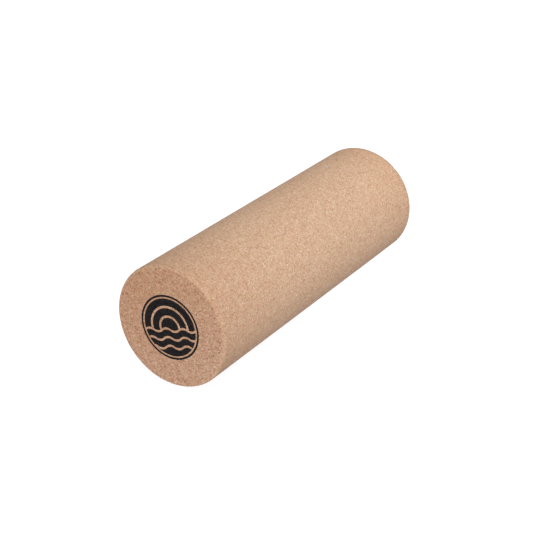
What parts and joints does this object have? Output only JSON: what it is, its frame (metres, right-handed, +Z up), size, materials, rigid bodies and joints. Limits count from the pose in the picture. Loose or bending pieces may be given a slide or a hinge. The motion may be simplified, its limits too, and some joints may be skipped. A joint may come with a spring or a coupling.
{
  "type": "balance board roller",
  "caption": "Solid cork cylinder that a balance board rolls on, lying on its side, with softly rounded rims and a round black print on an end face.",
  "frame": {"origin": "centre of the roller, on its axis at mid-length", "axes": "+Y along the roller's axis, from the printed end to the plain end; +Z up as the roller lies on its side; +X to the right looking at the printed end"},
  "size_m": [0.1, 0.3, 0.1],
  "materials": {
    "cork": "matte",
    "black_ink": "matte"
  },
  "bodies": {
    "root": {"cork_roller": "cork", "print_ring": "black_ink", "print_sun": "black_ink", "print_arches": "black_ink", "print_waves": "black_ink"}
  },
  "joints": []
}
